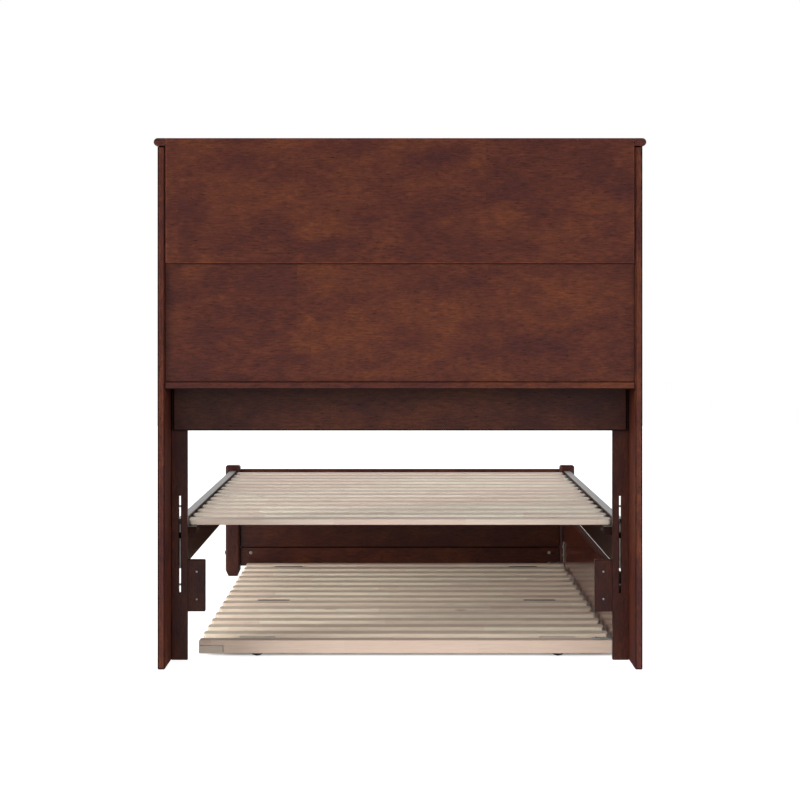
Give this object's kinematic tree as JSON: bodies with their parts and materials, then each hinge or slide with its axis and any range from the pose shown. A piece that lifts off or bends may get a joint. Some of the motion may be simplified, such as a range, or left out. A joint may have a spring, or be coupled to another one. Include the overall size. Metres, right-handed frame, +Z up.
{
  "type": "platform bed with trundle",
  "caption": "Twin slatted platform bed with a tall bookcase headboard, low footboard and a slatted trundle that rolls out sideways on casters.",
  "frame": {"origin": "on the floor, at the middle of the whole bed seen from above", "axes": "+Y runs from the headboard to the footboard, +Z is up, and +X is the side that the trundle rolls out of"},
  "size_m": [1.1092, 2.139, 1.197],
  "materials": {
    "walnut_stained_wood": "dark reddish brown stain under a satin varnish",
    "bare_slat_wood": "planed and bare, with knots and finger joints",
    "zinc_plated_steel": "zinc plated",
    "black_plastic": "moulded, matt"
  },
  "bodies": {
    "bed_frame": {"head_side_left": "walnut_stained_wood", "head_side_right": "walnut_stained_wood", "head_top_board": "walnut_stained_wood", "head_middle_shelf": "walnut_stained_wood", "head_bottom_shelf": "walnut_stained_wood", "head_divider_left": "walnut_stained_wood", "head_divider_right": "walnut_stained_wood", "head_upper_back": "walnut_stained_wood", "head_lower_back": "walnut_stained_wood", "head_apron_rail": "walnut_stained_wood", "head_post_left": "walnut_stained_wood", "head_post_right": "walnut_stained_wood", "stop_block_left": "walnut_stained_wood", "stop_block_right": "walnut_stained_wood", "side_rail_left": "walnut_stained_wood", "side_rail_right": "walnut_stained_wood", "slat_ledger_left": "walnut_stained_wood", "slat_ledger_right": "walnut_stained_wood", "foot_post_left": "walnut_stained_wood", "foot_post_right": "walnut_stained_wood", "foot_panel": "walnut_stained_wood", "foot_stretcher": "walnut_stained_wood", "hook_plate_head_left": "zinc_plated_steel", "hook_plate_head_right": "zinc_plated_steel", "hook_plate_foot_left": "zinc_plated_steel", "hook_plate_foot_right": "zinc_plated_steel", "bed_slat_01": "bare_slat_wood", "bed_slat_02": "bare_slat_wood", "bed_slat_03": "bare_slat_wood", "bed_slat_04": "bare_slat_wood", "bed_slat_05": "bare_slat_wood", "bed_slat_06": "bare_slat_wood", "bed_slat_07": "bare_slat_wood", "bed_slat_08": "bare_slat_wood", "bed_slat_09": "bare_slat_wood", "bed_slat_10": "bare_slat_wood", "bed_slat_11": "bare_slat_wood", "bed_slat_12": "bare_slat_wood", "bed_slat_13": "bare_slat_wood", "bed_slat_14": "bare_slat_wood"},
    "trundle": {"trundle_front_panel": "walnut_stained_wood", "trundle_rail_head": "bare_slat_wood", "trundle_rail_foot": "bare_slat_wood", "trundle_deck": "bare_slat_wood", "trundle_angle_head": "zinc_plated_steel", "trundle_angle_foot": "zinc_plated_steel", "caster_housing_1": "black_plastic", "caster_housing_2": "black_plastic", "caster_housing_3": "black_plastic", "caster_housing_4": "black_plastic", "caster_housing_5": "black_plastic", "caster_housing_6": "black_plastic"},
    "wheel_1": {"caster_wheel_1": "black_plastic"},
    "wheel_2": {"caster_wheel_2": "black_plastic"},
    "wheel_3": {"caster_wheel_3": "black_plastic"},
    "wheel_4": {"caster_wheel_4": "black_plastic"},
    "wheel_5": {"caster_wheel_5": "black_plastic"},
    "wheel_6": {"caster_wheel_6": "black_plastic"}
  },
  "joints": [
    {"name": "trundle_roll_out", "type": "slide", "parent": "bed_frame", "child": "trundle", "axis": [1, 0, 0], "range_m": [0, 1]},
    {"name": "wheel_1_spin", "type": "hinge", "parent": "trundle", "child": "wheel_1", "pos_m": [-0.3355, -0.8207, 0.02], "axis": [0, 1, 0], "continuous": true},
    {"name": "wheel_2_spin", "type": "hinge", "parent": "trundle", "child": "wheel_2", "pos_m": [0.3705, -0.8207, 0.02], "axis": [0, 1, 0], "continuous": true},
    {"name": "wheel_3_spin", "type": "hinge", "parent": "trundle", "child": "wheel_3", "pos_m": [-0.3355, -0.02549, 0.02], "axis": [0, 1, 0], "continuous": true},
    {"name": "wheel_4_spin", "type": "hinge", "parent": "trundle", "child": "wheel_4", "pos_m": [0.3705, -0.02549, 0.02], "axis": [0, 1, 0], "continuous": true},
    {"name": "wheel_5_spin", "type": "hinge", "parent": "trundle", "child": "wheel_5", "pos_m": [-0.3355, 0.89351, 0.02], "axis": [0, 1, 0], "continuous": true},
    {"name": "wheel_6_spin", "type": "hinge", "parent": "trundle", "child": "wheel_6", "pos_m": [0.3705, 0.89351, 0.02], "axis": [0, 1, 0], "continuous": true}
  ],
  "couplings": [
    {"joint": "wheel_1_spin", "follows": "trundle_roll_out", "rad_per_m": 50},
    {"joint": "wheel_2_spin", "follows": "trundle_roll_out", "rad_per_m": 50},
    {"joint": "wheel_3_spin", "follows": "trundle_roll_out", "rad_per_m": 50},
    {"joint": "wheel_4_spin", "follows": "trundle_roll_out", "rad_per_m": 50},
    {"joint": "wheel_5_spin", "follows": "trundle_roll_out", "rad_per_m": 50},
    {"joint": "wheel_6_spin", "follows": "trundle_roll_out", "rad_per_m": 50}
  ]
}
